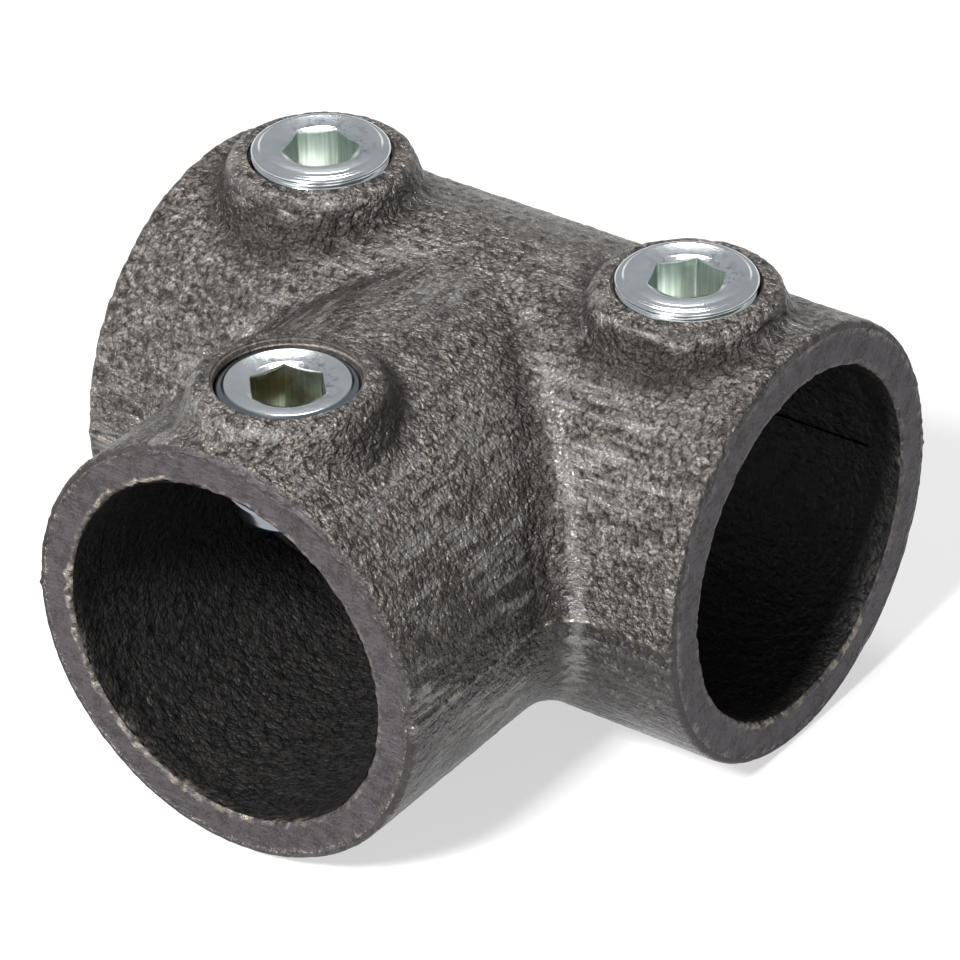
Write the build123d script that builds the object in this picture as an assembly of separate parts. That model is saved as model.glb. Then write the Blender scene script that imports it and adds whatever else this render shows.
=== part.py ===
"""Tube clamp tee fitting: a cast tee with three sockets for round tube and three set screws.

Millimetres. The origin is where the axes of the run and the branch cross. The run lies along X,
the branch points along -Y, and the set screws go in from above, along -Z.
"""

import os

from build123d import *

# the tube that the fitting holds, and the passages for it
tube_diameter = 42.4
tube_clearance = 0.4  # round the tube, in each mouth
land_length = 5.0  # full-round land that guides the tube, just inside each mouth
bore_edge = 0.3  # inner edge of each mouth, bevelled by this much
core_relief = 0.4  # the cored passage behind the lands stands this much clear of them
core_shift_run = 0.4  # the core's upper half lies off its lower half, towards +Y in the run
core_shift_branch = 0.3  # and towards +X in the branch

# the casting's outside
run_wall = 5.4  # round the run's lands
branch_wall = 5.0  # round the branch's
run_length = 84.2  # mouth to mouth
branch_length = 55.4  # from the run's axis to the branch's mouth
corner_radius = 5.0  # fillet between run and branch
mouth_edge = 0.9  # outer edge of each mouth, rounded by this much
fin_height = 0.3  # what is left of the flash round the casting's parting line
fin_width = 0.8

# the bosses that the set screws go through
run_left_boss = 3.6  # height of each boss above its barrel's crown
run_right_boss = 2.9
branch_boss = 2.9
boss_radius = 11.0  # at the top, before its edge is rounded
boss_draft = 0.33  # how much wider for each millimetre down
boss_edge_round = 1.8
boss_root_round = 1.6
run_ledge = 5.1  # from each boss's side, at its top, out to its mouth
branch_ledge = 3.1

# the set screws
thread_diameter = 16.66
thread_clearance = 0.05  # round the screw, in its hole
hole_edge = 0.4
screw_length = 16.0
screw_edge_width = 1.2  # bevel round the top
screw_edge_depth = 0.7
dish_width = 2.2  # shallow cone between the bevel and the key's socket
dish_depth = 0.4
key_size = 8.0  # across the flats
key_clearance = 0.1  # on each flat
key_depth = 8.5
key_lead = 0.9  # depth of the bevel that leads into the socket
drill_point = 1.6  # the drilled bottom below it
point_length = 2.8  # cone below the thread
point_taper = 1.7  # how much its radius shrinks
cup_rim = 1.2
cup_depth = 1.8

# how each screw was left: how far it stands out of its boss, and how far it is turned
run_left_proud = 1.3
run_right_proud = 1.2
branch_proud = -0.55  # sunk
run_left_turn = 43.0
run_right_turn = 51.0
branch_turn = 11.0

# what follows from them
bore_radius = tube_diameter / 2 + tube_clearance
run_radius = bore_radius + run_wall
branch_radius = bore_radius + branch_wall
core_radius = bore_radius + core_relief
run_end = run_length / 2
land_back = bore_edge + land_length  # from a mouth to the cored passage
screw_radius = thread_diameter / 2
hole_radius = screw_radius + thread_clearance
far = run_length + branch_length  # past everything

run_screw = run_end - run_ledge - boss_radius
branch_screw = branch_length - branch_ledge - boss_radius
bosses = [  # where each boss stands, and the height of its top
    (-run_screw, 0, run_radius + run_left_boss),
    (run_screw, 0, run_radius + run_right_boss),
    (0, -branch_screw, branch_radius + branch_boss),
]
screws = {  # node: its boss, how far it stands out, and its turn
    "set_screw_run_left": (bosses[0], run_left_proud, run_left_turn),
    "set_screw_run_right": (bosses[1], run_right_proud, run_right_turn),
    "set_screw_branch": (bosses[2], branch_proud, branch_turn),
}


def rod(radius, length):
    """A round bar that stands on the origin."""
    return Pos(0, 0, length / 2) * Cylinder(radius, length)


def bar_x(radius, start, end):
    """A round bar on the run's axis."""
    return Plane((start, 0, 0), x_dir=(0, 0, -1), z_dir=(1, 0, 0)) * rod(radius, end - start)


def bar_y(radius, start, end):
    """A round bar on the branch's axis."""
    return Plane((0, start, 0), x_dir=(0, 0, -1), z_dir=(0, 1, 0)) * rod(radius, end - start)


def block(x_from, x_to, y_from, y_to, z_from, z_to):
    """A box between two corners."""
    size = (x_to - x_from, y_to - y_from, z_to - z_from)
    middle = ((x_from + x_to) / 2, (y_from + y_to) / 2, (z_from + z_to) / 2)
    return Pos(*middle) * Box(*size)


def boss(x, y, top):
    """A drafted boss with a rounded top edge, from inside the wall up."""
    tall = top - bore_radius
    cone = Cone(boss_radius + boss_draft * tall, boss_radius, tall)
    rim = cone.edges().filter_by(GeomType.CIRCLE).sort_by(Axis.Z)[-1]
    return Pos(x, y, top - tall / 2) * fillet(rim, boss_edge_round)


def outside():
    """The tee before it is cored: two barrels, the fillet between them, and the bosses."""
    run = bar_x(run_radius, -run_end, run_end)
    branch = bar_y(branch_radius, -branch_length, 0)
    tee = run + branch
    corner = [e for e in tee.edges() if e.geom_type not in (GeomType.LINE, GeomType.CIRCLE)]
    tee = fillet(corner, corner_radius)
    rims = tee.edges().filter_by(GeomType.CIRCLE)
    tee = fillet(rims, mouth_edge) + [boss(*spot) for spot in bosses]
    sides = tee.faces().filter_by(GeomType.CONE).edges()
    low = [e for e in sides if e.bounding_box().max.Z < run_radius + boss_edge_round / 4]
    return fillet([e for e in low if e.geom_type != GeomType.LINE], boss_root_round)


def parting_fin():
    """A low ridge round the tee's outline at mid height, where the mould's halves met.

    The mouths were ground flat afterwards, so it stops level with them.
    """
    plan = Rectangle(run_length, 2 * run_radius)
    plan += Pos(0, -branch_length / 2) * Rectangle(2 * branch_radius, branch_length)
    inner = [v for v in plan.vertices() if -branch_length < v.Y < 0 and abs(v.X) < run_end]
    plan = offset(fillet(inner, corner_radius), fin_height)
    ridge = Pos(0, 0, -fin_width / 2) * extrude(plan, fin_width)
    return ridge & block(-run_end, run_end, -branch_length, far, -far, far)


def half_core(shift_run, shift_branch, z_from, z_to):
    """The upper or the lower half of the cored passage behind the lands."""
    reach = run_end - land_back
    run = Pos(0, shift_run, 0) * bar_x(core_radius, -reach, reach)
    branch = Pos(shift_branch, 0, 0) * bar_y(core_radius, land_back - branch_length, shift_run)
    return (run + branch) & block(-far, far, -far, far, z_from, z_to)


def mouth_cutter():
    """The land of one mouth and the bevel at its edge. The mouth is at the origin, facing +Z."""
    land = Pos(0, 0, -land_back) * rod(bore_radius, land_back)
    bevel = Pos(0, 0, -bore_edge / 2) * Cone(bore_radius, bore_radius + bore_edge, bore_edge)
    return land + bevel


def screw_hole(x, y, top):
    """The threaded hole for one set screw, with a bevelled edge, from the passage up."""
    bevel = Cone(hole_radius, hole_radius + hole_edge, hole_edge)
    return Pos(x, y, 0) * (rod(hole_radius, top) + Pos(0, 0, top - hole_edge / 2) * bevel)


def tee_casting():
    """The whole casting: outside, parting fin, lands, cored passage and screw holes."""
    mouths = [
        Plane((run_end, 0, 0), z_dir=(1, 0, 0)),
        Plane((-run_end, 0, 0), z_dir=(-1, 0, 0)),
        Plane((0, -branch_length, 0), z_dir=(0, -1, 0)),
    ]
    casting = outside() + parting_fin()
    casting -= half_core(0, 0, -far, 0)
    casting -= half_core(core_shift_run, core_shift_branch, 0, far)
    casting -= [mouth * mouth_cutter() for mouth in mouths]
    return casting - [screw_hole(*spot) for spot in bosses]


def set_screw():
    """A set screw with its top at the origin: dished top, hexagon socket, cone and cup point."""
    bevel_radius = screw_radius - screw_edge_width
    dish_radius = bevel_radius - dish_width
    point_radius = screw_radius - point_taper
    cup_radius = point_radius - cup_rim
    profile = Polyline(
        (0, -dish_depth),
        (dish_radius, -dish_depth),
        (bevel_radius, 0),
        (screw_radius, -screw_edge_depth),
        (screw_radius, point_length - screw_length),
        (point_radius, -screw_length),
        (cup_radius, -screw_length),
        (0, cup_depth - screw_length),
        close=True,
    )
    body = revolve(Plane.XZ * make_face(profile), Axis.Z)
    flat = key_size / 2 + key_clearance
    socket = extrude(RegularPolygon(flat, 6, major_radius=False), -key_depth)
    lead = Pos(0, 0, -dish_depth - key_lead / 2) * Cone(flat, dish_radius, key_lead)
    drill = Pos(0, 0, -key_depth - drill_point / 2) * Cone(0.2, flat, drill_point)
    return body - socket - lead - drill


if __name__ == "__main__":
    os.makedirs("parts", exist_ok=True)
    export_step(tee_casting(), "parts/tee_casting.step")
    for node, ((x, y, top), proud, turn) in screws.items():
        placed = Pos(x, y, top + proud) * Rot(0, 0, turn) * set_screw()
        export_step(placed, f"parts/{node}.step")
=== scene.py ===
import bpy
import math
import numpy as np
from mathutils import Matrix, Vector


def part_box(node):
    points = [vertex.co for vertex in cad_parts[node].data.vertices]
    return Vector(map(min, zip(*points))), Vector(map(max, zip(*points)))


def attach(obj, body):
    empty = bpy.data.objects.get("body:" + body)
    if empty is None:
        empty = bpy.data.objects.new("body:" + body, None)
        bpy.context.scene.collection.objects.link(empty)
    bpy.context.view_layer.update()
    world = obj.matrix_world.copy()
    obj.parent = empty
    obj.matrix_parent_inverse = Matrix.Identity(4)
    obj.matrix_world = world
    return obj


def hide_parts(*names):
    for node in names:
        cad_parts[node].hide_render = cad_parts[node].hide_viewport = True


# A cast iron tee for clamping tubes, with three zinc plated set screws.
# Everything is in metres in the frame's axes: run along X, branch towards -Y, screws up Z.

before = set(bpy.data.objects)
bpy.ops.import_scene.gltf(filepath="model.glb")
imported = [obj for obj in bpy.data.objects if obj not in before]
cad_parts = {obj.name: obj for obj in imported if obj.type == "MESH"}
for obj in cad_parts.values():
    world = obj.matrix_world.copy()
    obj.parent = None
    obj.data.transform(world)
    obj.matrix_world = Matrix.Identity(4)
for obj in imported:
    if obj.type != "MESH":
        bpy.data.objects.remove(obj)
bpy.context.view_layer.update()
mm = 0.001

castingLow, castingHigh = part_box("tee_casting")
screwNodes = ["set_screw_run_left", "set_screw_run_right", "set_screw_branch"]
screwBodies = ["screw_run_left", "screw_run_right", "screw_branch"]
screwBoxes = [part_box(name) for name in screwNodes]
screwRadius = 8.33 * mm


def valueNoise(points, grain, seed):
    # random values on a cubic lattice of that grain, eased between the eight corners round a point
    cells = 64
    table = np.random.default_rng(seed).random((cells, cells, cells)) * 2 - 1
    scaled = points / grain
    base = np.floor(scaled).astype(np.int64)
    part = scaled - base
    ease = part * part * (3 - 2 * part)
    total = np.zeros(points.shape[:-1])
    for corner in np.ndindex(2, 2, 2):
        at = (base + corner) % cells
        weight = np.prod(np.where(corner, ease, 1 - ease), axis=-1)
        total += weight * table[at[..., 0], at[..., 1], at[..., 2]]
    return total


def smooth(low, high, value):
    # 0 at low, 1 at high, and an S curve between them
    t = np.clip((value - low) / (high - low), 0, 1)
    return t * t * (3 - 2 * t)


def crossing(field, low, high, steps=40):
    # halves the interval again and again to find where field(s) turns from negative to positive
    low, high = np.array(low, float), np.array(high, float)
    for _ in range(steps):
        middle = (low + high) / 2
        inside = field(middle) < 0
        low, high = np.where(inside, middle, low), np.where(inside, high, middle)
    return (low + high) / 2


def nearest(values, target):
    return int(np.argmin(np.abs(values - target)))


def roundAxis(centre, away, turn, height):
    # points at a distance, bearing and height about an upright axis
    x, y = centre[0] + away * np.cos(turn), centre[1] + away * np.sin(turn)
    return np.stack(np.broadcast_arrays(x, y, height), -1)


def cornerField(a, b, lean, ball):
    # Joins two surfaces, a and b being the heights above them and lean the cosine between their normals.
    # A ball is rolled along the corner: where it spans both, the height is measured from the ball.
    p, q = a - ball, b - ball
    spread = np.maximum(1 - lean * lean, 1e-6)
    spans = (p - q * lean < 0) & (q - p * lean < 0)
    away = np.sqrt(np.maximum(p * p + q * q - 2 * p * q * lean, 0) / spread)
    return np.where(spans, ball - away, np.minimum(a, b))


def gridFaces(rows, columns, closed=False):
    # quads of a grid of points numbered row by row; closed joins the last column to the first
    r = np.arange(rows - 1)[:, None]
    c = np.arange(columns if closed else columns - 1)[None, :]
    n = (c + 1) % columns
    quads = np.stack([r * columns + c, r * columns + n, (r + 1) * columns + n, (r + 1) * columns + c], -1)
    return quads.reshape(-1, 4)


def outwards(grid, quads, slopes):
    # turns a grid's quads round if they face against the directions given for its points
    corner = grid.reshape(-1, 3)[quads]
    facing = np.cross(corner[:, 2] - corner[:, 0], corner[:, 3] - corner[:, 1])
    agree = (facing * slopes.reshape(-1, 3)[quads].mean(1)).sum()
    return quads if agree > 0 else quads[:, ::-1]


def quadsWithout(grid, blocks):
    # the faces of a grid that lie outside some blocks of its rows and columns
    quads = gridFaces(grid.shape[0], grid.shape[1])
    row, column = quads[:, 0] // grid.shape[1], quads[:, 0] % grid.shape[1]
    keep = np.ones(len(quads), bool)
    for i0, i1, j0, j1 in blocks:
        keep &= ~((row >= i0) & (row < i1) & (column >= j0) & (column < j1))
    return quads[keep]


def joined(parts):
    # grids and their faces as one list of points and one of faces
    first = np.cumsum([0] + [grid.shape[0] * grid.shape[1] for grid, _ in parts])
    points = np.concatenate([grid.reshape(-1, 3) for grid, _ in parts])
    return points, np.concatenate([quads + start for (_, quads), start in zip(parts, first)])


def facedQuads(grid, slopes):
    # the quads of a grid that closes on itself, facing along the given directions
    quads = gridFaces(grid.shape[0], grid.shape[1], closed=True)
    return outwards(grid, quads, np.broadcast_to(slopes, grid.shape))


def ironMarks(shape, **marks):
    # the marks that the casting's finish reads, 0 where none is given
    keys = ("rub", "low", "ground", "burr", "side", "oily")
    return {key: np.broadcast_to(marks.get(key, 0.0), shape) for key in keys}


def makePiece(name, points, faces, material, body, attributes):
    # one mesh from an array of points and one of four-cornered faces, with points in the same place merged
    points = points.reshape(-1, 3)
    places = np.round(points / (0.0005 * mm)).astype(np.int64)
    _, first, inverse = np.unique(places, axis=0, return_index=True, return_inverse=True)
    faces = inverse.reshape(-1)[faces]
    points = points[first]
    whole = (faces != np.roll(faces, 1, axis=1)).all(1)
    polys = faces[whole].tolist()
    for quad in faces[~whole].tolist():
        short = [v for i, v in enumerate(quad) if v != quad[i - 1]]
        if len(set(short)) == 3:
            polys.append(short)
    mesh = bpy.data.meshes.new(name)
    mesh.from_pydata(points.tolist(), [], polys)
    for key, values in attributes.items():
        layer = mesh.attributes.new(key, "FLOAT", "POINT")
        layer.data.foreach_set("value", values.reshape(-1)[first].astype(np.float32))
    mesh.polygons.foreach_set("use_smooth", np.ones(len(mesh.polygons), bool))
    mesh.materials.append(material)
    mesh.update()
    piece = bpy.data.objects.new(name, mesh)
    bpy.context.scene.collection.objects.link(piece)
    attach(piece, body)
    print("made", name, len(points), "points", len(polys), "faces")
    return piece


def newMaterial(name):
    material = bpy.data.materials.new(name)
    material.use_nodes = True
    tree = material.node_tree
    return material, tree, tree.nodes["Principled BSDF"]


def node(tree, kind, **settings):
    made = tree.nodes.new(kind)
    for key, value in settings.items():
        if hasattr(made, key):
            setattr(made, key, value)
        else:
            made.inputs[key.replace("_", " ")].default_value = value
    return made


def noise(tree, grain, detail=2.0, roughness=0.5, stretch=(1, 1, 1)):
    # noise on Object coordinates with features about one grain across
    where = node(tree, "ShaderNodeTexCoord").outputs["Object"]
    if stretch != (1, 1, 1):
        mapping = node(tree, "ShaderNodeMapping")
        mapping.inputs["Scale"].default_value = stretch
        tree.links.new(where, mapping.inputs["Vector"])
        where = mapping.outputs["Vector"]
    made = node(tree, "ShaderNodeTexNoise", Scale=1 / grain, Detail=detail, Roughness=roughness)
    tree.links.new(where, made.inputs["Vector"])
    return made.outputs["Fac"]


def ramp(tree, source, *stops):
    made = node(tree, "ShaderNodeValToRGB")
    elements = made.color_ramp.elements
    while len(elements) < len(stops):
        elements.new(0.5)
    for element, (position, colour) in zip(elements, stops):
        element.position = position
        element.color = (*colour, 1)
    tree.links.new(source, made.inputs["Fac"])
    return made.outputs["Color"]


def grey(value):
    return (value, value, value)


def mix(tree, factor, first, second, kind="RGBA", blend="MIX"):
    made = node(tree, "ShaderNodeMix", data_type=kind)
    if kind == "RGBA":
        made.blend_type = blend
    slots = {"RGBA": (6, 7, 2), "FLOAT": (2, 3, 0)}[kind]
    for socket, value in ((made.inputs[0], factor), (made.inputs[slots[0]], first), (made.inputs[slots[1]], second)):
        if hasattr(value, "is_output"):
            tree.links.new(value, socket)
        else:
            socket.default_value = value if kind == "FLOAT" or socket == made.inputs[0] else (*value, 1)
    return made.outputs[slots[2]]


def maths(tree, operation, first, second=0.0, clamp=False):
    made = node(tree, "ShaderNodeMath", operation=operation, use_clamp=clamp)
    for socket, value in zip(made.inputs, (first, second)):
        if hasattr(value, "is_output"):
            tree.links.new(value, socket)
        else:
            socket.default_value = value
    return made.outputs[0]


def times(tree, first, second, clamp=False):
    return maths(tree, "MULTIPLY", first, second, clamp)


def plus(tree, first, second, clamp=False):
    return maths(tree, "ADD", first, second, clamp)


def lessened(tree, value, share, clamp=False):
    # 1 less a share of the value
    return maths(tree, "SUBTRACT", 1.0, times(tree, value, share), clamp)


def addBump(tree, shader, height, strength, distance):
    bump = node(tree, "ShaderNodeBump", Strength=strength, Distance=distance)
    tree.links.new(height, bump.inputs["Height"])
    tree.links.new(bump.outputs["Normal"], shader.inputs["Normal"])


def attribute(tree, name):
    return node(tree, "ShaderNodeAttribute", attribute_name=name).outputs["Fac"]


ironLook = {
    "hollow": (0.026, 0.022, 0.020),  # brown black between the grains
    "skin": (0.084, 0.074, 0.067),  # brown grey
    "pale": (0.140, 0.126, 0.115),  # dry patches
    "glintTops": (0.31, 0.285, 0.26),  # the grains' tops painted pale, a painted highlight standing for glints
    "rubbed": (0.162, 0.156, 0.151),  # worn smooth along the barrels, and a painted highlight along the corner and the bosses' front edges
    "low": (0.036, 0.034, 0.038),  # the smoother, bluer lower half, darker as painted shade
    "ground": (0.078, 0.070, 0.077),  # the ground mouths
    "groundDark": (0.034, 0.030, 0.032),
    "burr": (0.26, 0.23, 0.19),  # torn grains at a mouth's inner edge
    "grain": 0.72 * mm,
    "grainDepth": 0.88 * mm,
    "cloud": 7 * mm,  # widths of the patches, scuffs and bands in its colour
    "patch": 1.8 * mm,
    "scuff": 1.2 * mm,
    "band": 1.5 * mm,
    "wear": (0.16, 1.05),  # how worn it is at least, and for each unit of the wear and painted-highlight mark
    "shadeShare": 0.88,  # how far painted shade takes it to the hollows' colour
    "coredGrain": 0.75 * mm,
    "coredDepth": 0.55 * mm,
    "cored": ((0.004, 0.004, 0.004), (0.020, 0.018, 0.017)),  # the oily passage, hollows and tops
}


def spreadOut(tree, value, low, high):
    # stretches a noise's middle range to 0 to 1
    made = node(tree, "ShaderNodeMapRange")
    made.clamp = True
    for socket, number in zip(list(made.inputs)[1:3], (low, high)):
        socket.default_value = number
    tree.links.new(value, made.inputs["Value"])
    return made.outputs["Result"]


def grainHeight(tree, grain):
    # packed sand grains: a dome on every cell of a warped cell pattern, on coarse lumps and under fine grit
    where = node(tree, "ShaderNodeTexCoord").outputs["Object"]
    warp = node(tree, "ShaderNodeTexNoise", Scale=0.7 / grain, Detail=1.0)
    tree.links.new(where, warp.inputs["Vector"])
    shift = node(tree, "ShaderNodeVectorMath", operation="MULTIPLY_ADD")
    tree.links.new(warp.outputs["Color"], shift.inputs[0])
    shift.inputs[1].default_value = (1.1 * grain,) * 3
    tree.links.new(where, shift.inputs[2])
    cells = node(tree, "ShaderNodeTexVoronoi", Scale=1 / grain)
    tree.links.new(shift.outputs[0], cells.inputs["Vector"])
    away = cells.outputs["Distance"]
    dome = lessened(tree, times(tree, away, away), 1.25, clamp=True)
    lump = noise(tree, grain * 2.2, 2.0, 0.6)
    fine = noise(tree, grain * 0.45, 2.0, 0.6)
    total = plus(tree, times(tree, dome, 0.42), times(tree, spreadOut(tree, lump, 0.28, 0.72), 0.33))
    return plus(tree, total, times(tree, spreadOut(tree, fine, 0.28, 0.72), 0.25)), fine


def makeCastIron():
    material, tree, shader = newMaterial("castIronSkin")
    rub, low, ground, burr, side, oily = (
        attribute(tree, key) for key in ("rub", "low", "ground", "burr", "side", "oily"))
    look = ironLook
    height, fine = grainHeight(tree, look["grain"])
    broad, patch = noise(tree, look["cloud"], 3), noise(tree, look["patch"], 3)
    blotch = plus(tree, times(tree, broad, 0.5), times(tree, patch, 0.5))

    # scuffs and bands drawn out along whichever barrel the point is on
    scuffs = [spreadOut(tree, noise(tree, look["scuff"], 4, 0.68, stretch), 0.49, 0.61)
              for stretch in ((0.15, 1, 1), (1, 0.15, 1))]
    bands = [spreadOut(tree, noise(tree, look["band"], 2, 0.5, stretch), 0.32, 0.68)
             for stretch in ((0.14, 1, 1), (1, 0.14, 1))]
    scuff, band = mix(tree, side, *scuffs, kind="FLOAT"), mix(tree, side, *bands, kind="FLOAT")
    least, rubbed = look["wear"]
    wornAndLitShare = times(tree, scuff, plus(tree, least, times(tree, rub, rubbed)), clamp=True)
    sheenStrip = maths(tree, "SUBTRACT", rub, 1.0, clamp=True)  # past 1 it is the painted highlight strip, whatever the scuffs say
    wornAndLitShare = plus(tree, wornAndLitShare, times(tree, sheenStrip, spreadOut(tree, fine, 0.2, 0.6)), clamp=True)

    base = ramp(tree, blotch, (0.36, look["skin"]), (0.64, look["pale"]))
    # painted shade: the lower half takes a darker, bluer tone
    base = mix(tree, low, base, look["low"])
    base = mix(tree, 1.0, base, ramp(tree, band, (0.0, grey(0.62)), (1.0, grey(1.25))), blend="MULTIPLY")
    # painted highlight: the grains' highest tops take a pale tone, as glints
    base = mix(tree, ramp(tree, height, (0.64, grey(0)), (0.86, grey(0.85))), base, look["glintTops"])
    base = mix(tree, ramp(tree, height, (0.34, grey(0.95)), (0.62, grey(0))), base, look["hollow"])
    # painted shade: this mark darkens the colour towards the hollows' tone
    shadeShare = times(tree, oily, look["shadeShare"])
    base = mix(tree, shadeShare, base, look["hollow"])
    # worn patches and the painted highlight strips take the pale worn tone
    base = mix(tree, wornAndLitShare, base, look["rubbed"])
    specks = plus(tree, times(tree, fine, 0.55), times(tree, patch, 0.45))
    faceTone = ramp(tree, specks, (0.43, look["groundDark"]), (0.52, look["ground"]))
    # the ground faces take the same painted shade
    base = mix(tree, ground, base, mix(tree, shadeShare, faceTone, look["hollow"]))
    base = mix(tree, burr, base, look["burr"])
    tree.links.new(base, shader.inputs["Base Color"])
    shader.inputs["Metallic"].default_value = 0.5
    shader.inputs["Specular IOR Level"].default_value = 0.4
    rough = ramp(tree, fine, (0.3, grey(0.20)), (0.7, grey(0.42)))
    tree.links.new(mix(tree, ground, rough, grey(0.62)), shader.inputs["Roughness"])

    # the grains are flatter where it is ground, worn, under the painted highlight strip, or in the lower half
    calm = lessened(tree, ground, 0.85, clamp=True)
    calm = times(tree, calm, lessened(tree, wornAndLitShare, 0.45))
    calm = times(tree, calm, lessened(tree, low, 0.55))
    addBump(tree, shader, plus(tree, times(tree, height, calm), times(tree, scuff, 0.10)), 1.0, look["grainDepth"])
    return material


def makeBoreIron():
    # the cored passage, oily and nearly black, with ripples
    material, tree, shader = newMaterial("castIronCored")
    height, fine = grainHeight(tree, ironLook["coredGrain"])
    ripple = noise(tree, 1.8 * mm, 2)
    hollow, top = ironLook["cored"]
    base = ramp(tree, height, (0.40, hollow), (0.95, top))
    base = mix(tree, attribute(tree, "burr"), base, ironLook["burr"])
    tree.links.new(base, shader.inputs["Base Color"])
    shader.inputs["Metallic"].default_value = 0.0
    shader.inputs["Specular IOR Level"].default_value = 0.3
    rough = ramp(tree, fine, (0.3, grey(0.38)), (0.7, grey(0.60)))
    tree.links.new(rough, shader.inputs["Roughness"])
    addBump(tree, shader, plus(tree, times(tree, height, 0.6), times(tree, ripple, 0.9)), 1.0, ironLook["coredDepth"])
    return material


zincLook = {
    "light": (0.86, 0.89, 0.90),
    # the first is the duller of the two zinc tones that the clouds mix
    "dullAndShade": (0.74, 0.78, 0.78),
    # the dark mottling on the dish is a painted reflection
    "reflectionMottle": (0.30, 0.31, 0.30),
    "shank": (0.17, 0.19, 0.22),  # the thread and the tip, darkened as painted shade
    "green": (0.56, 0.64, 0.62),  # passivation inside the sockets
    "brass": (0.27, 0.245, 0.14),
    "cream": (0.88, 0.90, 0.84),
}


def makeZinc():
    # attributes: socket is 1 on its walls, depth runs from its mouth (0) to its floor (1), brassy tints a screw
    material, tree, shader = newMaterial("brightZinc")
    socket, depth, brassy, darkReflection, dullAndShade = (
        attribute(tree, key) for key in ("socket", "depth", "brassy", "darkReflection", "dullAndShade"))
    cloud = noise(tree, 3.0 * mm, 3)
    base = ramp(tree, cloud, (0.35, zincLook["dullAndShade"]), (0.65, zincLook["light"]))
    # painted reflection: dark mottling on the dish's far side
    reflectionMottle = spreadOut(tree, noise(tree, 1.1 * mm, 4, 0.7), 0.50, 0.68)
    base = mix(tree, times(tree, reflectionMottle, darkReflection), base, zincLook["reflectionMottle"])
    brushed = noise(tree, 0.35 * mm, 2, 0.5, (1, 1, 0.04))
    wall = mix(tree, times(tree, brassy, spreadOut(tree, cloud, 0.3, 0.6)), zincLook["green"], zincLook["brass"])
    pale = times(tree, spreadOut(tree, depth, 0.35, 0.75), lessened(tree, brassy, 0.8))
    wall = mix(tree, pale, wall, zincLook["cream"])
    wall = mix(tree, 1.0, wall, ramp(tree, brushed, (0.3, grey(0.75)), (0.7, grey(1.15))), blend="MULTIPLY")
    # painted shade: the thread, the tip and a bevel sunk in its hole take the dark shank colour
    base = mix(tree, dullAndShade, base, zincLook["shank"])
    base = mix(tree, socket, base, wall)
    tree.links.new(base, shader.inputs["Base Color"])
    shader.inputs["Metallic"].default_value = 1.0
    tree.links.new(mix(tree, socket, grey(0.15), grey(0.30)), shader.inputs["Roughness"])
    ripple = noise(tree, 1.4 * mm, 2)
    addBump(tree, shader, plus(tree, times(tree, noise(tree, 0.25 * mm, 2), 0.25), ripple), 0.35, 0.05 * mm)
    return material


castIron = makeCastIron()
boreIron = makeBoreIron()
brightZinc = makeZinc()
print("materials ready")


tee = {
    "runEnd": castingHigh.x,  # the run's mouths
    "branchEnd": -castingLow.y,  # the branch's mouth
    "runRadius": -castingLow.z,
    "branchRadius": -castingLow.z - 0.4 * mm,
    "cornerBall": 5 * mm,  # fillet between run and branch
    "mouthRound": 0.9 * mm,
    "landRadius": 21.6 * mm,
    "landLength": 5.3 * mm,
    "coreRadius": 22.0 * mm,
    "coreShift": (0.3 * mm, 0.4 * mm),  # how far the upper core sits off, branch then run
    "coreBall": 1.2 * mm,
    "split": 5 * mm,  # how far the border between run and branch stands off the run's axis at the crown
    "skin": 0.32 * mm,  # depth of the sand texture
    "fin": 0.3 * mm,
}

bosses = [  # x, y, height of the top
    (screwBoxes[0][0].x + screwRadius, 0.0, 30.6 * mm),
    (screwBoxes[1][0].x + screwRadius, 0.0, 29.9 * mm),
    (0.0, screwBoxes[2][0].y + screwRadius, 29.5 * mm),
]
bossShape = {
    "radius": 11 * mm,
    "draft": 0.33,
    "edgeRound": 1.8 * mm,
    "rootRound": 1.6 * mm,
    "holeRadius": 8.38 * mm,
    "holeBevel": 0.4 * mm,
    "heart": 9.2 * mm,  # where the rays that find its surface start, out from its axis
    "heartDepth": 10 * mm,  # and below its top
}
bossPatch = {  # what a boss takes out of the grid below it, from its axis or as a share of the columns
    "toMouth": 14.6 * mm,
    "toMiddle": 14.3 * mm,
    "back": 0.58,
    "front": 0.62,
    "branchReach": 15 * mm,
    "branchRows": 6,  # rows left before the branch's mouth
    "branchSide": 0.42,
    "holeReach": 10.2 * mm,  # and the same for the holes in the passage
    "holeBack": 0.64,
    "holeFront": 0.6,
    "holeSide": 0.36,
}


def barrelField(points, runRadius, branchRadius, ball):
    # height above the two barrels and the ball rolled along their corner; behind the run's axis only the run counts
    x, y, z = points[..., 0], points[..., 1], points[..., 2]
    fromRun, fromBranch = np.hypot(y, z), np.hypot(x, z)
    a, b = fromRun - runRadius, fromBranch - branchRadius
    lean = z * z / np.maximum(fromRun * fromBranch, 1e-9)
    return np.where(y < 0, cornerField(a, b, lean, ball), a)


def bossedField(points, boss, ball):
    # the barrels' height joined to a drafted boss with a rounded top edge
    shape = bossShape
    barrels = barrelField(points, tee["runRadius"], tee["branchRadius"], ball)
    dx, dy, z = points[..., 0] - boss[0], points[..., 1] - boss[1], points[..., 2]
    away = np.hypot(dx, dy)
    slope = math.atan(shape["draft"])
    wall = (away - shape["radius"] - shape["draft"] * (boss[2] - z)) * math.cos(slope)
    top = z - boss[2]
    cone = -cornerField(-wall, -top, math.sin(slope), shape["edgeRound"])
    # normals of the barrel below and of the boss's wall
    onRun = abs(boss[1]) < 1e-6
    bx, by = (0 * dx, points[..., 1]) if onRun else (points[..., 0], 0 * dy)
    length = np.sqrt(bx * bx + by * by + z * z)
    out = np.maximum(away, 1e-9)
    lean = ((dx * bx + dy * by) / out * math.cos(slope) + z * math.sin(slope)) / length
    return cornerField(barrels, cone, lean, shape["rootRound"])


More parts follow.
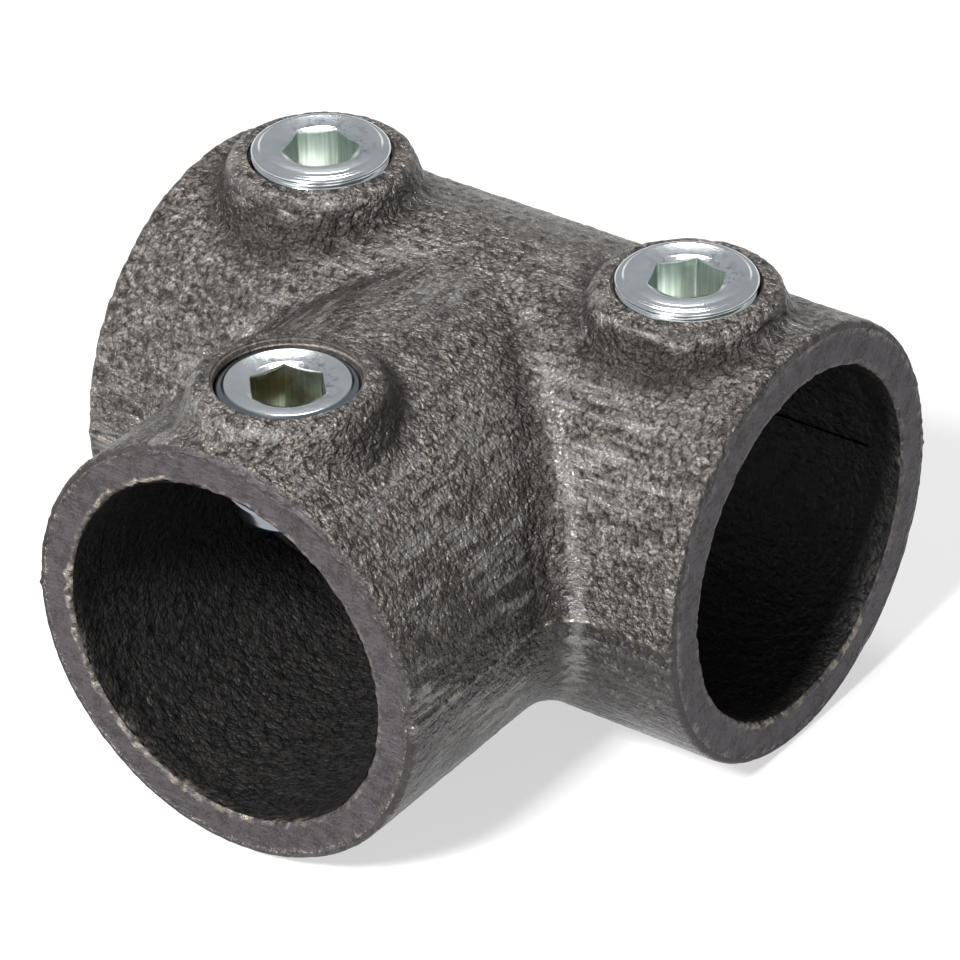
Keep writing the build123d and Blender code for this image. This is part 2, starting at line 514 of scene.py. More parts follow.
def teeHalf(runRadius, branchRadius, ball, reachX, reachY, counts):
    # The upper half of the tee as two grids that share the border between run and branch.
    # Run: rows across X, and columns turned about the run's axis from the back, over the crown, to the front.
    # Branch: rows from the border out to the mouth, and columns turned about the branch's axis.
    # A point is where a ray from the axis leaves the form.
    quarter, beyond, back, front, length = counts
    split = tee["split"]
    edge = np.linspace(0, 1, quarter + 1)
    edge = edge - 0.055 * np.sin(2 * math.pi * edge) * (edge > 0.5)  # closer columns near the parting line
    phi = np.concatenate([-edge[::-1], edge[1:]]) * math.pi / 2

    def borderField(r):
        x, z = r * np.sin(phi), r * np.cos(phi)
        return barrelField(np.stack([x, -np.hypot(x, split), z], -1), runRadius, branchRadius, ball)

    r = crossing(borderField, np.full(len(phi), 0.7 * branchRadius), np.full(len(phi), branchRadius + 2 * ball))
    border = np.stack([r * np.sin(phi), -np.hypot(r * np.sin(phi), split), r * np.cos(phi)], -1)

    # run rows: those that end on the border, then those out to the mouths
    apex = border[-1, 0]
    crown = apex + 0.35 * (reachX - apex)
    further = np.linspace(0, 1, beyond + 1)[1:]
    crownX = np.concatenate([np.linspace(0, crown, quarter + 1), crown + (reachX - crown) * further])
    frontX = np.concatenate([border[quarter:, 0], apex + (reachX - apex) * further])
    lastTurn = np.concatenate([np.arctan2(border[quarter:, 2], border[quarter:, 1]), np.full(beyond, math.pi)])
    crownX, frontX = np.concatenate([-crownX[:0:-1], crownX]), np.concatenate([-frontX[:0:-1], frontX])
    lastTurn = np.concatenate([lastTurn[:0:-1], lastTurn])
    s = np.linspace(0, 1, back + 1)
    s = s - 0.055 * np.sin(2 * math.pi * s) * (s < 0.5)
    t = np.linspace(0, 1, front + 1)[1:]
    turnBack = np.broadcast_to(s * math.pi / 2, (len(crownX), back + 1))
    turnFront = math.pi / 2 + (lastTurn[:, None] - math.pi / 2) * t
    turn = np.concatenate([turnBack, turnFront], 1)
    drift = np.concatenate([np.zeros(back + 1), t * t * (3 - 2 * t)])
    x = crownX[:, None] + (frontX - crownX)[:, None] * drift

    def runField(r):
        return barrelField(np.stack([x, r * np.cos(turn), r * np.sin(turn)], -1), runRadius, branchRadius, ball)

    r = crossing(runField, np.full(x.shape, 0.8 * runRadius), np.full(x.shape, runRadius + ball))
    run = np.stack([x, r * np.cos(turn), r * np.sin(turn)], -1)
    run[beyond:beyond + 2 * quarter + 1, -1] = border

    # branch rows
    out = np.linspace(0, 1, length + 1)[:, None]
    y = border[:, 1] * (1 - out) - reachY * out
    turn = np.broadcast_to(phi, y.shape)

    def branchField(r):
        return barrelField(np.stack([r * np.sin(turn), y, r * np.cos(turn)], -1), runRadius, branchRadius, ball)

    r = crossing(branchField, np.full(y.shape, 0.8 * branchRadius), np.full(y.shape, branchRadius + ball))
    branch = np.stack([r * np.sin(turn), y, r * np.cos(turn)], -1)
    branch[0] = border
    return run, branch


def loopRound(i0, i1, j0, j1):
    # the grid places round a block of rows i0 to i1 and columns j0 to j1, in order
    rows = np.concatenate([np.arange(i0, i1), np.full(j1 - j0, i1), np.arange(i1, i0, -1), np.full(j1 - j0, i0)])
    columns = np.concatenate([np.full(i1 - i0, j0), np.arange(j0, j1), np.full(i1 - i0, j1), np.arange(j1, j0, -1)])
    return rows, columns


def bossSheet(loop, boss, rings=42):
    # From each point of the loop a profile runs in over the boss to the hole's edge.
    # It is where rays from a point inside the wall, fanned between the two ends, leave the form.
    dx, dy = loop[:, 0] - boss[0], loop[:, 1] - boss[1]
    bearing = np.arctan2(dy, dx)
    rim = bossShape["holeRadius"] + bossShape["holeBevel"]
    deep, heart = boss[2] - bossShape["heartDepth"], bossShape["heart"]
    low = np.arctan2(loop[:, 2] - deep, np.hypot(dx, dy) - heart)
    high = math.atan2(bossShape["heartDepth"], rim - heart)
    s = np.linspace(0, 1, rings + 1)[:, None]
    fan = low + (high - low) * s

    def place(r):
        away = heart + r * np.cos(fan)
        return roundAxis(boss, away, bearing, deep + r * np.sin(fan))

    def field(r):
        return bossedField(place(r), boss, tee["cornerBall"])

    r = crossing(field, np.full(fan.shape, 1 * mm), np.full(fan.shape, 22 * mm))
    sheet = place(r)
    sheet[0] = loop
    return sheet


def normalsOf(field, points):
    # the direction in which the field grows fastest
    step = 0.02 * mm
    shifts = np.eye(3) * step
    slope = np.stack([field(points + shift) - field(points - shift) for shift in shifts], -1)
    return slope / np.maximum(np.linalg.norm(slope, axis=-1, keepdims=True), 1e-9)


def ironSkin(points, roughCast):
    # Depth below the form: grains, pits and slow waves of a sand mould, never above it.
    grains = valueNoise(points, 1.1 * mm, 1) * 0.5 + valueNoise(points, 0.6 * mm, 2) * 0.5
    waves = valueNoise(points, 6 * mm, 3) * 0.6 + valueNoise(points, 14 * mm, 4) * 0.4
    pits = np.clip(valueNoise(points, 1.4 * mm, 5) - 0.45, 0, 1)
    depth = roughCast * (0.5 + 0.5 * grains) + 0.35 * (0.5 + 0.5 * waves) + 0.8 * roughCast * pits
    return depth * tee["skin"]


def finHeight(points):
    # a thin ragged ridge along the parting line, missing here and there
    ragged = 0.55 + 0.45 * valueNoise(points * np.array([1, 1, 0.2]), 1.6 * mm, 6)
    return tee["fin"] * ragged * np.exp(-(points[..., 2] / (0.22 * mm)) ** 2)


print("working out the casting")

# run rows to the apex, rows beyond it, columns behind and before the crown, branch rows
outerCounts = (96, 30, 96, 84, 96)
lowerCounts = (72, 22, 72, 60, 72)
coreCounts = (64, 14, 52, 46, 56)


def roundedMouth(row, axis, radius, steps=5):
    # more rows past the last one, on the quarter circle that rounds a mouth's outer edge
    along = np.array([[1, 0, 0], [0, 1, 0]][axis]) * np.sign(row[0, axis])
    bend = tee["mouthRound"]
    t = np.linspace(0, math.pi / 2, steps + 1)[1:, None, None]
    flat = row * (1 - np.abs(along))
    out = flat / np.linalg.norm(flat, axis=-1, keepdims=True)
    points = row + (radius - bend + bend * np.cos(t)) * out - radius * out + along * bend * np.sin(t)
    return points, out * np.cos(t) + along * np.sin(t)


def outerShell(upper, counts):
    # The outside of one half of the casting: run, branch, rounded mouths, and on top the three bosses.
    ball, bend = tee["cornerBall"], tee["mouthRound"]
    runRadius, branchRadius = tee["runRadius"], tee["branchRadius"]
    run, branch = teeHalf(runRadius, branchRadius, ball, tee["runEnd"] - bend, tee["branchEnd"] - bend, counts)

    def plain(points):
        return barrelField(points, runRadius, branchRadius, ball)

    grids = []
    runSlope, branchSlope = normalsOf(plain, run), normalsOf(plain, branch)
    barrels = ((run, runSlope, 0, runRadius, (0, -1)), (branch, branchSlope, 1, branchRadius, (-1,)))
    for grid, slope, axis, radius, ends in barrels:
        for end in ends:
            extra, extraSlope = roundedMouth(grid[end], axis, radius)
            if end == 0:
                grid, slope = np.concatenate([extra[::-1], grid]), np.concatenate([extraSlope[::-1], slope])
            else:
                grid, slope = np.concatenate([grid, extra]), np.concatenate([slope, extraSlope])
        grids.append((grid, slope))
    (run, runSlope), (branch, branchSlope) = grids

    blocks = [[], []]  # for each grid, the blocks of faces that a boss takes over
    sheets = []
    if upper:
        patch, crownColumn, middle = bossPatch, counts[2], branch.shape[1] // 2
        crownX, crownY = run[:, crownColumn, 0], branch[:, middle, 1]
        for index, boss in enumerate(bosses):
            if index < 2:
                sides = (patch["toMouth"], patch["toMiddle"])[::1 if index == 0 else -1]
                i0, i1 = nearest(crownX, boss[0] - sides[0]), nearest(crownX, boss[0] + sides[1])
                j0, j1 = int(crownColumn * patch["back"]), crownColumn + int(counts[3] * patch["front"])
                grid = run
            else:
                i0, i1 = nearest(crownY, boss[1] + patch["branchReach"]), branch.shape[0] - patch["branchRows"]
                j0, j1 = (middle + side * int(counts[0] * patch["branchSide"]) for side in (-1, 1))
                grid = branch
            loop = loopRound(i0, i1, j0, j1)
            sheet = bossSheet(grid[loop], boss)
            slope = normalsOf(lambda points: bossedField(points, boss, ball), sheet)
            slope[0] = (runSlope if index < 2 else branchSlope)[loop]
            blocks[0 if index < 2 else 1].append((i0, i1, j0, j1))
            sheets.append((sheet, slope, boss))

    parts, slopes, fades = [], [], []
    for grid, slope, taken in ((run, runSlope, blocks[0]), (branch, branchSlope, blocks[1])):
        parts.append((grid, outwards(grid, quadsWithout(grid, taken), slope)))
        slopes.append(slope.reshape(-1, 3))
        fades.append(np.ones(grid.shape[0] * grid.shape[1]))
    for sheet, slope, boss in sheets:
        parts.append((sheet, facedQuads(sheet, slope)))
        slopes.append(slope.reshape(-1, 3))
        fades.append(smooth(8.75 * mm, 9.8 * mm, fromAxis(sheet, boss)).reshape(-1))
    points, faces = joined(parts)
    slopes, fades = np.concatenate(slopes), np.concatenate(fades)
    if not upper:
        points, slopes = points * (1, 1, -1), slopes * (1, 1, -1)
        faces = faces[:, ::-1]
    points = insideBox(points + slopes * outerShift(points, slopes, fades)[:, None])
    used = np.unique(faces)
    renumber = np.zeros(len(points), int)
    renumber[used] = np.arange(len(used))
    points = points[used]
    marks = ironMarks(len(points), rub=rubbing(points), low=lowHalf(points), ground=groundEdge(points),
                      burr=finTone(points), side=onBranch(points), oily=paintedShadeMask(points))
    return points, renumber[faces], marks


def fromAxis(points, boss):
    # distance from a boss's axis
    return np.hypot(points[..., 0] - boss[0], points[..., 1] - boss[1])


def pastBorder(points):
    # how far a point is past the border between run and branch, towards the branch's mouth
    return -points[..., 1] - np.hypot(points[..., 0], tee["split"])


def creaseOf(points):
    # 1 in the crease on the branch's side of the corner, clear of the crown
    near = np.exp(-((pastBorder(points) - 2.2 * mm) / (2.6 * mm)) ** 2)
    return near * smooth(6 * mm, 13 * mm, np.abs(points[..., 0]))


def insideBox(points):
    # trims what the sand texture adds past the casting's own box
    return np.clip(points, castingLow, castingHigh)


def outerShift(points, slopes, fades):
    # what the sand and the parting line add to the form, along its normal
    rough = 0.45 + 0.55 * smooth(-3 * mm, 3 * mm, points[..., 2])
    level = np.abs(slopes[..., 2]) < 0.7
    fin = finHeight(points) * level * np.hypot(slopes[..., 0], slopes[..., 1])
    return fin + (0.1 * mm * rough - ironSkin(points, rough)) * fades


def onBranch(points):
    # 0 on the run, 1 on the branch, eased across the corner between them
    return smooth(-1.5 * mm, 1.5 * mm, pastBorder(points))


def rubbing(points):
    # where handling wore the skin: slow clouds, none on the bosses or in the crease with the branch,
    # and past 1 a painted highlight along the run's side of the corner and on the bosses' front edges
    sides = smooth(5 * mm, 12 * mm, points[..., 0]) + 0.4 * smooth(-5 * mm, -12 * mm, points[..., 0])
    below = 0.35 + 0.65 * smooth(26 * mm, 20 * mm, points[..., 2])
    strip = np.exp(-((pastBorder(points) + 2.4 * mm) / (1.7 * mm)) ** 2) * sides * below
    cloud = valueNoise(points, 9 * mm, 12) + 0.6 * valueNoise(points, 4 * mm, 13)
    cloud = smooth(-0.2, 0.9, cloud + 0.35 * onBranch(points) * smooth(5 * mm, 18 * mm, points[..., 0]))
    height = barrelField(points, tee["runRadius"], tee["branchRadius"], tee["cornerBall"])
    cloud = cloud * (1 - smooth(0.4 * mm, 1.2 * mm, height)) * (1 - creaseOf(points))
    # painted highlight on the bosses' rounded front edges, which face the key lamp
    for boss in bosses:
        edge = np.exp(-((fromAxis(points, boss) - bossShape["radius"] - 0.3 * mm) / (1.1 * mm)) ** 2)
        edge = edge * smooth(-3.2 * mm, -0.8 * mm, points[..., 2] - boss[2])
        edge = edge * smooth(1 * mm, -6 * mm, points[..., 1] - boss[1])
        strip = np.maximum(strip, 0.8 * edge)
    return cloud * (1 - strip) + strip * (1.75 + 0.4 * valueNoise(points, 2.5 * mm, 14))


def paintedShadeMask(points):
    # painted shade: darker in the crease, up the bosses' walls, on the branch's flanks and low on the run
    dark = 1.1 * creaseOf(points)
    for boss in bosses:
        away = fromAxis(points, boss)
        wall = smooth(10.6 * mm, 11.6 * mm, away) * smooth(15.5 * mm, 12.5 * mm, away) * (points[..., 2] > 15 * mm)
        # the branch's boss takes no painted shade in front, where the key lamp falls
        front = smooth(-2 * mm, -9 * mm, points[..., 1] - boss[1]) if boss[1] < 0 else 0
        dark += wall * (1 - front)
    x, branch = points[..., 0], onBranch(points)
    flank = branch * smooth(13 * mm, 25 * mm, np.abs(x)) + 1.3 * branch * smooth(-3 * mm, -11 * mm, x)
    dark += (0.6 + 0.2 * smooth(0, -20 * mm, x)) * smooth(9 * mm, -8 * mm, points[..., 2]) * (1 - 0.6 * branch)
    return np.clip(dark + 0.8 * flank * (0.8 + 0.4 * valueNoise(points, 3 * mm, 19)), 0, 1)


def lowHalf(points):
    # the drag half of the mould was finer, so the lower half is smoother and bluer, and its darker tone is painted
    # shade: it starts at the parting line, and higher up on the branch
    start = 2 * mm + 12 * mm * onBranch(points) + 2 * mm * valueNoise(points, 3 * mm, 16)
    return smooth(start, -1.0 * mm, points[..., 2])


def groundEdge(points):
    # the ground faces, and the edges that blend into them
    reach = np.maximum(np.abs(points[..., 0]) - tee["runEnd"], -points[..., 1] - tee["branchEnd"])
    ragged = 0.18 * mm * valueNoise(points, 0.9 * mm, 17)
    return smooth(-0.55 * mm, -0.15 * mm, reach + ragged)


def finTone(points):
    # torn pale grains along the parting line
    ragged = valueNoise(points, 0.7 * mm, 18)
    return np.exp(-(points[..., 2] / (0.25 * mm)) ** 2) * smooth(-0.1, 0.6, ragged)


for name, upper, counts in (("casting_upper", True, outerCounts), ("casting_lower", False, lowerCounts)):
    points, faces, marks = outerShell(upper, counts)
    shell = makePiece(name, points, faces, castIron, "casting", marks)
    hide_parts("tee_casting")


def roundMouth(along, count):
    # directions square to a mouth's axis, all the way round it
    turn = np.linspace(0, 2 * math.pi, count, endpoint=False)
    side = np.cross(along, (0, 0, 1.0))
    return np.cos(turn)[:, None] * side + np.sin(turn)[:, None] * np.array((0, 0, 1.0))


def mouthRing(centre, along, radius, count=540):
    # the ground face of a mouth, from its rounded edge in to a torn inner edge, and that edge down to the land
    land, face = tee["landRadius"], radius - tee["mouthRound"]
    out = roundMouth(along, count)
    edge = centre + land * out
    torn = valueNoise(edge, 1.3 * mm, 21) + 0.5 * valueNoise(edge, 0.5 * mm, 22)
    torn = 0.3 * mm + 0.22 * mm * np.clip(torn, -1, 1.6)
    heavy = smooth(0.1, 0.7, valueNoise(edge, 9 * mm, 23) + 0.5 * valueNoise(edge, 2.5 * mm, 24))
    torn = torn * (1 + 0.9 * heavy)
    faceRows = 16
    away = [face + (land + torn - face) * np.linspace(0, 1, faceRows)[:, None]]
    depth = [np.zeros((faceRows, count))]
    slope = np.array([0.35, 0.7, 1.0])[:, None]
    away.append(land + torn * (1 - slope) ** 1.2)
    depth.append(torn * 1.5 * slope ** 1.3)
    away, depth = np.concatenate(away), np.concatenate(depth)
    points = centre - np.asarray(along) * depth[..., None] + away[..., None] * out[None]
    burr = np.zeros(depth.shape)
    inner = slice(faceRows - 2, None)
    burr[inner] = (0.25 + 0.75 * heavy) * smooth(-0.3, 0.6, valueNoise(points[inner], 0.6 * mm, 25))
    return points, burr, depth


mouths = [
    ("mouth_run_right", (tee["runEnd"], 0, 0), (1, 0, 0), tee["runRadius"]),
    ("mouth_run_left", (-tee["runEnd"], 0, 0), (-1, 0, 0), tee["runRadius"]),
    ("mouth_branch", (0, -tee["branchEnd"], 0), (0, -1, 0), tee["branchRadius"]),
]
for name, centre, along, radius in mouths:
    along = np.array(along, float)
    ring, burr, depth = mouthRing(np.array(centre), along, radius)
    shift = outerShift(ring, np.broadcast_to(along, ring.shape), np.ones(depth.shape))
    calmer = np.concatenate([[1, 0.7, 0.4], np.full(len(depth) - 3, 0.25)])[:, None]  # less sand towards the land
    ring = insideBox(ring + along * (shift * calmer)[..., None])
    quads = facedQuads(ring, along)
    inside = radius - tee["mouthRound"] - np.linalg.norm((ring - centre) * (1 - np.abs(along)), axis=-1)
    rimmed = smooth(-0.1 * mm, 0.7 * mm, inside + 0.55 * mm * valueNoise(ring, 1.0 * mm, 28))
    # painted shade on the branch's ground mouth, which faces the key lamp
    oily = (1 - burr) * (0.38 if name == "mouth_branch" else 0.0)
    marks = ironMarks(burr.shape, ground=rimmed * (1 - burr * 0.5), burr=burr, oily=oily)
    makePiece(name, ring, quads, castIron, "casting", marks)

    # the land behind it, back to the core
    land, out = tee["landRadius"], roundMouth(along, 240)
    depth = np.linspace(0.3 * mm, tee["landLength"] + 0.2 * mm, 15)
    shift = np.where(out[:, 2] > 0, tee["coreShift"][0 if abs(along[1]) > 0.5 else 1], 0)
    sideways = np.array((1.0, 0, 0)) if abs(along[1]) > 0.5 else np.array((0, 1.0, 0))
    core = tee["coreRadius"] - 0.03 * mm + shift * (out @ sideways)
    flare = smooth(0.2, 1.0, depth / tee["landLength"])[:, None]
    away = land + (core - land) * flare
    surface = np.array(centre) - along * depth[:, None, None] + away[..., None] * out
    quads = facedQuads(surface, -out)
    edge = valueNoise(surface, 0.6 * mm, 26) + 0.8 * valueNoise(surface, 5 * mm, 27)
    makePiece(name.replace("mouth", "land"), surface, quads, boreIron, "casting",
              {"burr": smooth(0.3, 1.0, edge) * np.exp(-(depth / (0.5 * mm)))[:, None]})
print("mouths ready")


def coreHeight(x, y):
    # height of the cored passage's roof over a place
    dx, dy = tee["coreShift"]

    def field(z):
        return barrelField(np.stack([x - dx, y - dy, z], -1), tee["coreRadius"], tee["coreRadius"], tee["coreBall"])

    return crossing(field, np.full(x.shape, 1 * mm), np.full(x.shape, 24 * mm))


def passage():
    # the cored passage behind the lands: an upper and a lower half, a little off one another
    counts, patch = coreCounts, bossPatch
    reachX, reachY = tee["runEnd"] - tee["landLength"], tee["branchEnd"] - tee["landLength"]
    parts = []
    for upper in (True, False):
        shift = np.array([*(tee["coreShift"] if upper else (0, 0)), 0])
        run, branch = teeHalf(tee["coreRadius"], tee["coreRadius"], tee["coreBall"], reachX, reachY, counts)
        crownX, middle = run[:, counts[2], 0], branch.shape[1] // 2
        crownY = branch[:, middle, 1]
        for grid in (run, branch):
            place = (grid if upper else grid * (1, 1, -1)) + shift
            inwards = -grid * ((0, 1, 1) if grid is run else (1, 0, 1)) * (1, 1, 1 if upper else -1)
            blocks = []
            for boss in (bosses[:2] if grid is run else bosses[2:]) if upper else ():
                if grid is run:
                    i0, i1 = (nearest(crownX, boss[0] + side * patch["holeReach"]) for side in (-1, 1))
                    j0, j1 = int(counts[2] * patch["holeBack"]), counts[2] + int(counts[3] * patch["holeFront"])
                else:
                    i0, i1 = nearest(crownY, boss[1] + patch["holeReach"]), len(grid) - 1
                    j0, j1 = (middle + side * int(counts[0] * patch["holeSide"]) for side in (-1, 1))
                blocks.append((i0, i1, j0, j1))
                loop = place[loopRound(i0, i1, j0, j1)]
                bearing = np.arctan2(loop[:, 1] - boss[1], loop[:, 0] - boss[0])
                ring = roundAxis(boss, bossShape["holeRadius"], bearing, 0)[:, :2]
                share = np.linspace(0, 1, 7)[:, None, None]
                plan = loop[:, :2] * (1 - share) + ring * share
                sheet = np.concatenate([plan, coreHeight(plan[..., 0], plan[..., 1])[..., None]], -1)
                sheet[0] = loop
                parts.append((sheet, facedQuads(sheet, (0, 0, -1.0))))
            parts.append((place, outwards(place, quadsWithout(grid, blocks), inwards)))
    return joined(parts)


points, faces = passage()
makePiece("cored_passage", points, faces, boreIron, "casting", {"burr": np.zeros(len(points))})


def holeWall(boss, phase, columns=180, rows=110):
    # The tapped hole: its bevel, then a wall with a helical groove cut outwards, down to the passage's roof.
    shape, pitch = bossShape, setScrew["pitch"]
    turn = np.linspace(0, 2 * math.pi, columns, endpoint=False)
    edge = roundAxis(boss, shape["holeRadius"], turn, 0)
    foot = coreHeight(edge[:, 0], edge[:, 1])
    top = boss[2] - shape["holeBevel"]
    z = top + (foot - top) * np.linspace(0, 1, rows)[:, None]
    tooth = np.abs(((z / pitch - turn / (2 * math.pi) + phase) % 1) - 0.5) * 2
    groove = smooth(0.25, 0.95, tooth) * 0.5 * mm * smooth(0, 1, (z - foot) / (1.0 * mm))
    away = shape["holeRadius"] + groove
    # bright tool rings just under the edge, then the thread's crests
    rings = smooth(0.45, 0.9, np.cos(2 * math.pi * (top - z) / (0.42 * mm))) * np.ones(away.shape)
    crest = np.where(top - z > 1.3 * mm, smooth(0.3, 0.1, tooth), rings)
    crest = np.concatenate([np.zeros((1, columns)), crest])
    away = np.concatenate([np.full((1, columns), shape["holeRadius"] + shape["holeBevel"]), away])
    z = np.concatenate([np.full((1, columns), boss[2]), z * np.ones((1, columns))])
    return roundAxis(boss, away, turn, z), turn, crest


setScrew = {
    "radius": screwRadius,
    "length": 16 * mm,
    "pitch": 1.337 * mm,
    "threadDepth": 0.72 * mm,
    "edgeWidth": 1.2 * mm,
    "edgeDepth": 0.7 * mm,
    "dishWidth": 2.2 * mm,
    "dishDepth": 0.4 * mm,
    "lipSlope": 0.4,
    "acrossFlats": 8.2 * mm,
    "blunt": 4.68 * mm,  # where the hexagon's corners are cut
    "socketDepth": 8.5 * mm,
    "drillPoint": 1.6 * mm,
    "pointLength": 2.8 * mm,
    "pointTaper": 1.7 * mm,
    "pointStart": 0.7 * mm,  # how far inside the crests its cone begins
    "cup": ((1.2 * mm, 0.2 * mm), (2.4 * mm, 1.2 * mm)),  # in from the tip's edge, and up
    "cupDepth": 1.8 * mm,
    "socketRows": 27,  # rows of the surface up to the socket's lip
    "turns": (43.0, 51.0, 11.0),
    "brassy": (0.0, 0.1, 1.0),
    "holeShade": (0.0, 0.0, 0.85),  # how much of its edge is darkened as painted shade from the hole round it
}


for index, boss in enumerate(bosses):
    wall, turn, crest = holeWall(boss, 0.3 * index)
    quads = facedQuads(wall, -np.stack([np.cos(turn), np.sin(turn), 0 * turn], -1))
    # painted shade down the hole's wall, all but the bright crests
    marks = ironMarks(crest.shape, ground=0.8, burr=0.6 * crest, oily=1 - crest)
    makePiece(screwNodes[index].replace("set_screw", "hole"), wall, quads, castIron, "casting", marks)
print("holes ready")


def screwSurface(centre, top, turnedBy, brassy, holeShade, columns=240):
    # rows from the middle of the socket's floor, up its flats, over the dish and the bevel, and down to the tip
    shape = setScrew
    around = np.linspace(0, 2 * math.pi, columns, endpoint=False)
    sixth = (around - math.radians(turnedBy)) % (math.pi / 3) - math.pi / 6
    flats = np.minimum(shape["acrossFlats"] / 2 / np.cos(sixth), shape["blunt"])
    ridge = shape["radius"] - shape["edgeWidth"]
    lip = ridge - shape["dishWidth"]
    rows = []

    def addRow(away, below):
        # distance from the axis and depth below the top, for every column
        rows.append((np.full(columns, away), np.full(columns, below)))

    deep = shape["socketDepth"]
    for share, below in ((0, deep + shape["drillPoint"]), (0.5, deep + shape["drillPoint"] / 2), (0.97, deep)):
        addRow(flats * share, below)
    meet = shape["dishDepth"] + (lip - flats) * shape["lipSlope"]
    for share in np.linspace(0, 1, 24):
        addRow(flats, deep + (meet - deep) * share)
    for share in np.linspace(0, 1, 6)[1:]:
        addRow(flats + (lip - flats) * share, meet + (shape["dishDepth"] - meet) * share)
    for share in np.linspace(0, 1, 16)[1:]:
        addRow(lip + (ridge - lip) * share, shape["dishDepth"] * (1 - share ** 1.25))
    for share in np.linspace(0, 1, 16)[1:]:
        drop = 0.45 * min(1, share / 0.3) + 0.55 * share ** 5
        addRow(ridge + shape["edgeWidth"] * share, shape["edgeDepth"] * drop)
    for below in np.arange(0.75 * mm, shape["length"] - shape["pointLength"], shape["pitch"] / 12):
        phase = (below / shape["pitch"] - around / (2 * math.pi)) % 1
        groove = smooth(0.1, 0.95, np.abs(phase - 0.5) * 2) * shape["threadDepth"]
        addRow(shape["radius"] - groove * min(1, (below - 0.7 * mm) / (0.6 * mm)), below)
    tip, cone = shape["radius"] - shape["pointTaper"], shape["radius"] - shape["pointStart"]
    for share in np.linspace(0, 1, 8)[1:]:
        addRow(cone + (tip - cone) * share, shape["length"] - shape["pointLength"] * (1 - share))
    for away, up in [(tip - inside, up) for inside, up in shape["cup"]] + [(0, shape["cupDepth"])]:
        addRow(away, shape["length"] - up)
    away = np.array([row[0] for row in rows])
    below = np.array([row[1] for row in rows])
    inSocket = np.arange(len(rows))[:, None] < shape["socketRows"]
    # painted shade on the bevel that sits down in the hole
    edge = holeShade * smooth(ridge, ridge + 0.15 * mm, away)
    marks = {
        "socket": inSocket * np.ones(away.shape),
        "depth": below / deep,
        "brassy": np.full(away.shape, brassy),
        "dullAndShade": ~inSocket * np.maximum(0.9 * smooth(2.0 * mm, 4.0 * mm, below), edge),
        # painted reflection: dark mottling on the dish, on the side towards 80 degrees
        "darkReflection": ~inSocket * smooth(ridge, lip, away) * smooth(-0.4, 0.5, np.cos(around - math.radians(80))),
    }
    return roundAxis(centre, away, around, top - below), marks


for index, (nodeName, body) in enumerate(zip(screwNodes, screwBodies)):
    low, high = screwBoxes[index]
    centre = ((low.x + high.x) / 2, (low.y + high.y) / 2)
    surface, marks = screwSurface(centre, high.z, *(setScrew[key][index] for key in ("turns", "brassy", "holeShade")))
    quads = gridFaces(surface.shape[0], surface.shape[1], closed=True)
    screw = makePiece(nodeName + "_bright", surface, quads, brightZinc, body, marks)
    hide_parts(nodeName)
print("screws ready")


studio = {
    "floor": 0.24,  # the floor as the object sees it
    "floorSeen": 0.95,  # and as the camera and polished metal see it
    "shadowLift": 0.60,  # how much of what they see doesn't take the shadow
    "backdrop": 0.36,  # the pale sweep low round the object
    "room": 0.13,  # the dim room above it
    "roomSeen": (0.36, 0.375, 0.40),  # and as polished metal sees it
}


def makeStage():
    material, tree, shader = newMaterial("paleFloor")
    path = node(tree, "ShaderNodeLightPath")
    seen = maths(tree, "MAXIMUM", path.outputs["Is Camera Ray"], path.outputs["Is Glossy Ray"])
    seen = maths(tree, "MAXIMUM", seen, path.outputs["Is Transmission Ray"])
    tree.links.new(mix(tree, seen, grey(studio["floor"]), grey(studio["floorSeen"])), shader.inputs["Base Color"])
    shader.inputs["Roughness"].default_value = 1.0
    shader.inputs["Specular IOR Level"].default_value = 0.0
    white = node(tree, "ShaderNodeEmission", Color=(1, 1, 1, 1), Strength=1.0)
    blend = node(tree, "ShaderNodeMixShader")
    tree.links.new(times(tree, seen, studio["shadowLift"]), blend.inputs[0])
    tree.links.new(shader.outputs[0], blend.inputs[1])
    tree.links.new(white.outputs[0], blend.inputs[2])
    tree.links.new(blend.outputs[0], tree.nodes["Material Output"].inputs["Surface"])
    mesh = bpy.data.meshes.new("floor")
    z, half = castingLow.z, 3.0
    mesh.from_pydata([(-half, -half, z), (half, -half, z), (half, half, z), (-half, half, z)], [], [(0, 1, 2, 3)])
    mesh.materials.append(material)
    floor = bpy.data.objects.new("floor", mesh)
    bpy.context.scene.collection.objects.link(floor)


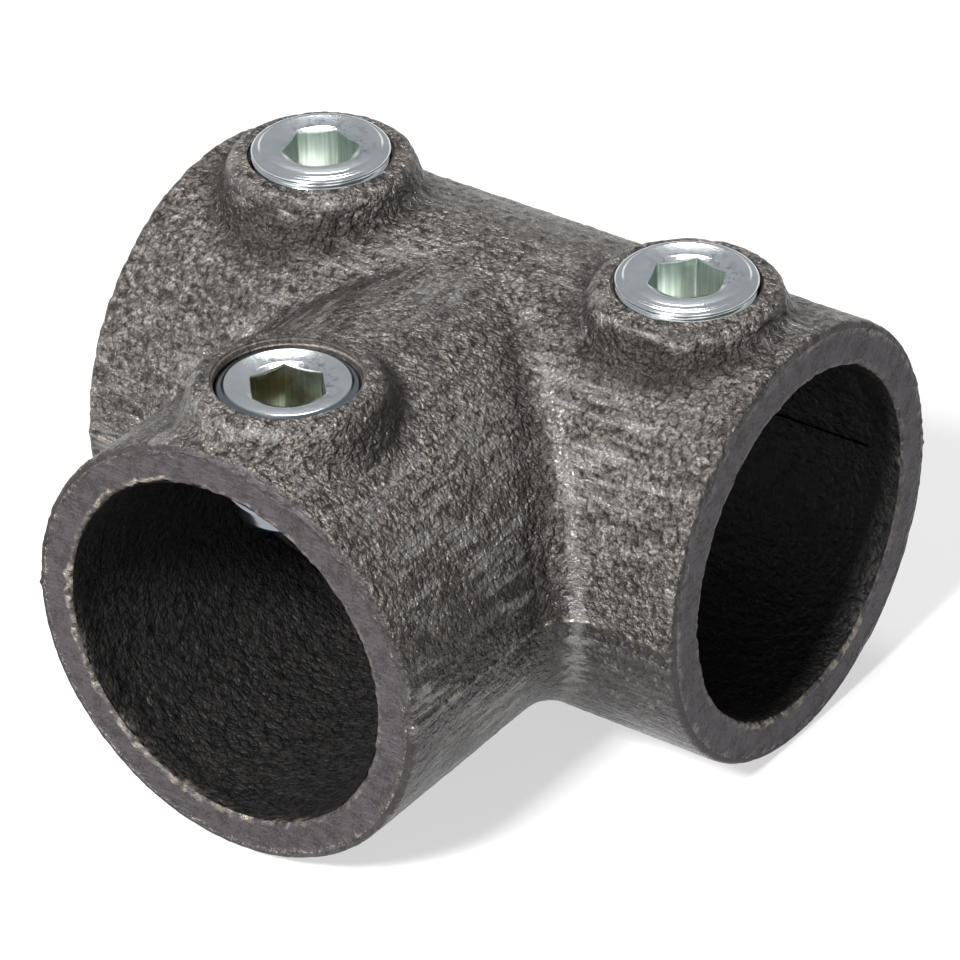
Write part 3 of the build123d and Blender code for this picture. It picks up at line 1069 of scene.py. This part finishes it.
def makeWorld():
    # white for the camera; for the object a pale backdrop low down, and a dim room above
    world = bpy.data.worlds.new("studio")
    bpy.context.scene.world = world
    world.use_nodes = True
    tree = world.node_tree
    background = tree.nodes["Background"]
    split = node(tree, "ShaderNodeSeparateXYZ")
    tree.links.new(node(tree, "ShaderNodeTexCoord").outputs["Generated"], split.inputs[0])
    rise = node(tree, "ShaderNodeMapRange", interpolation_type="SMOOTHSTEP")
    for socket, number in zip(list(rise.inputs)[1:5], (0.02, 0.25, 0.0, 1.0)):
        socket.default_value = number
    tree.links.new(split.outputs["Z"], rise.inputs["Value"])
    path = node(tree, "ShaderNodeLightPath")
    polished = maths(tree, "MAXIMUM", path.outputs["Is Glossy Ray"], path.outputs["Is Transmission Ray"])
    low = mix(tree, polished, grey(studio["backdrop"]), grey(1.0))
    high = mix(tree, polished, grey(studio["room"]), studio["roomSeen"])
    around = mix(tree, rise.outputs["Result"], low, high)
    tree.links.new(mix(tree, path.outputs["Is Camera Ray"], around, grey(1.0)), background.inputs["Color"])


makeStage()
makeWorld()


def areaLight(name, place, size, power, target=(0, -0.015, 0)):
    data = bpy.data.lights.new(name, "AREA")
    data.shape = "RECTANGLE"
    data.size, data.size_y = size
    data.energy = power
    lamp = bpy.data.objects.new(name, data)
    bpy.context.scene.collection.objects.link(lamp)
    lamp.location = place
    lamp.rotation_euler = (Vector(target) - Vector(place)).to_track_quat("-Z", "Y").to_euler()


areaLight("keyLight", (0.04, -0.60, 0.54), (0.15, 0.15), 16)
areaLight("topLight", (-0.14, 0.19, 0.66), (0.20, 0.30), 2.4)
areaLight("fillLight", (0.62, -0.42, 0.30), (0.40, 0.40), 0.6)

cameraView = {
    "azimuth": 36.019,
    "elevation": 32.594,
    "roll": -1.232,
    "distance": 680.3 * mm,
    "target": (16.893 * mm, -28.421 * mm, 15.043 * mm),
    "lens": 225.96375,
}


def placeCamera():
    a, e, r = (math.radians(cameraView[key]) for key in ("azimuth", "elevation", "roll"))
    back = Vector((math.sin(a) * math.cos(e), -math.cos(a) * math.cos(e), math.sin(e)))
    right = (-back).cross(Vector((0, 0, 1))).normalized()
    up = right.cross(-back)
    right, up = right * math.cos(r) + up * math.sin(r), up * math.cos(r) - right * math.sin(r)
    data = bpy.data.cameras.new("camera")
    data.lens = cameraView["lens"]
    data.sensor_width = 36
    data.clip_start, data.clip_end = 0.01, 20
    camera = bpy.data.objects.new("camera", data)
    bpy.context.scene.collection.objects.link(camera)
    turn = Matrix((right, up, back)).transposed().to_4x4()
    camera.matrix_world = Matrix.Translation(Vector(cameraView["target"]) + back * cameraView["distance"]) @ turn
    bpy.context.scene.camera = camera


placeCamera()
bpy.context.scene.view_settings.view_transform = "Standard"

print("camera and lights ready")
